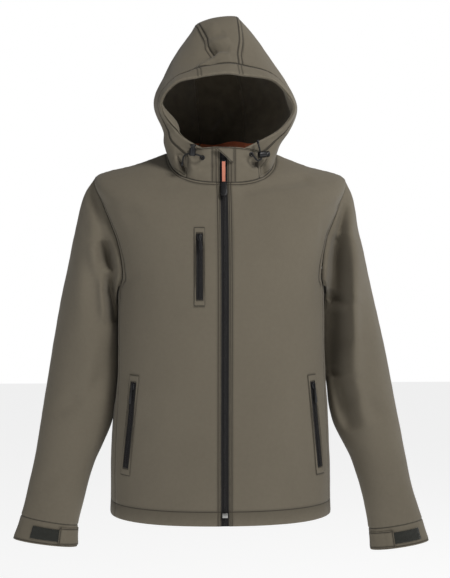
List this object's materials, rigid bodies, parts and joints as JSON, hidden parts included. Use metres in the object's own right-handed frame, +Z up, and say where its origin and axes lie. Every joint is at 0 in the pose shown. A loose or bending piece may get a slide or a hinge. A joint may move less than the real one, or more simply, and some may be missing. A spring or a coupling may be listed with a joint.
{
  "type": "hooded softshell jacket",
  "caption": "Hooded zip-front softshell jacket in worn form, with chest and hand pockets, tabbed cuffs and a drawcord hood.",
  "frame": {"origin": "the middle of the neck, level with the tops of the shoulders, where the wearer holds the jacket up", "axes": "+Z up along the back, -Y out of the front, +X towards the wearer's left"},
  "size_m": [0.7648, 0.2581, 0.9884],
  "materials": {
    "cloth": "matte, very smooth bonded softshell, olive taupe",
    "zip": "black woven zip tape with moulded teeth",
    "hard": "black moulded plastic and lacquered metal",
    "orange": "woven orange tape",
    "patch": "napped loop side of a hook and loop fastener",
    "cord": "black braided elastic cord",
    "metal": "bright small fittings"
  },
  "bodies": {
    "root": {"front_left": "cloth", "front_right": "cloth", "back": "cloth", "collar_left": "cloth", "collar_right": "cloth", "sleeve_left": "cloth", "sleeve_right": "cloth", "cuff_left": "cloth", "cuff_right": "cloth", "cuff_tab_left": "cloth", "cuff_tab_right": "cloth", "hood_side_left": "cloth", "hood_side_right": "cloth", "hood_gusset": "cloth", "hood_brim": "cloth", "zip_garage": "cloth", "chest_welt": "cloth", "hand_left_welt": "cloth", "hand_right_welt": "cloth", "main_zip": "zip", "chest_zip": "zip", "hand_left_zip": "zip", "hand_right_zip": "zip", "main_slider": "hard", "chest_slider": "hard", "hand_left_slider": "hard", "hand_right_slider": "hard", "eyelet_left": "hard", "eyelet_right": "hard", "cord_lock_left": "hard", "cord_lock_right": "hard", "neck_tape": "orange", "cuff_patch_left": "patch", "cuff_patch_right": "patch", "cord_left": "cord", "cord_right": "cord", "main_zip_box": "metal", "cord_tip_left": "metal", "cord_tip_right": "metal"},
    "main_pull": {"main_pull_tape": "orange", "main_pull_end": "hard"},
    "chest_pull": {"chest_pull": "hard"},
    "hand_left_pull": {"hand_left_pull": "hard"},
    "hand_right_pull": {"hand_right_pull": "hard"},
    "plunger_left": {"plunger_left": "hard"},
    "plunger_right": {"plunger_right": "hard"}
  },
  "joints": [
    {"name": "main_pull_swing", "type": "hinge", "parent": "root", "child": "main_pull", "pos_m": [-0.00012, -0.09377, -0.01214], "axis": [-0.9997, 0.0258, 0], "range_deg": [0, 130]},
    {"name": "chest_pull_swing", "type": "hinge", "parent": "root", "child": "chest_pull", "pos_m": [-0.04505, -0.131, -0.14564], "axis": [-0.9921, 0.0485, -0.1159], "range_deg": [0, 150]},
    {"name": "hand_left_pull_swing", "type": "hinge", "parent": "root", "child": "hand_left_pull", "pos_m": [0.1633, -0.09081, -0.40966], "axis": [-0.7369, -0.6669, -0.1105], "range_deg": [0, 150]},
    {"name": "hand_right_pull_swing", "type": "hinge", "parent": "root", "child": "hand_right_pull", "pos_m": [-0.1633, -0.09081, -0.40966], "axis": [-0.7369, 0.6669, 0.1105], "range_deg": [0, 150]},
    {"name": "plunger_left_press", "type": "slide", "parent": "root", "child": "plunger_left", "axis": [-0.9176, -0.3846, -0.1004], "range_m": [0, 0.003], "stiffness_N_per_m": 300},
    {"name": "plunger_right_press", "type": "slide", "parent": "root", "child": "plunger_right", "axis": [-0.0803, 0.144, -0.9863], "range_m": [0, 0.003], "stiffness_N_per_m": 300}
  ]
}
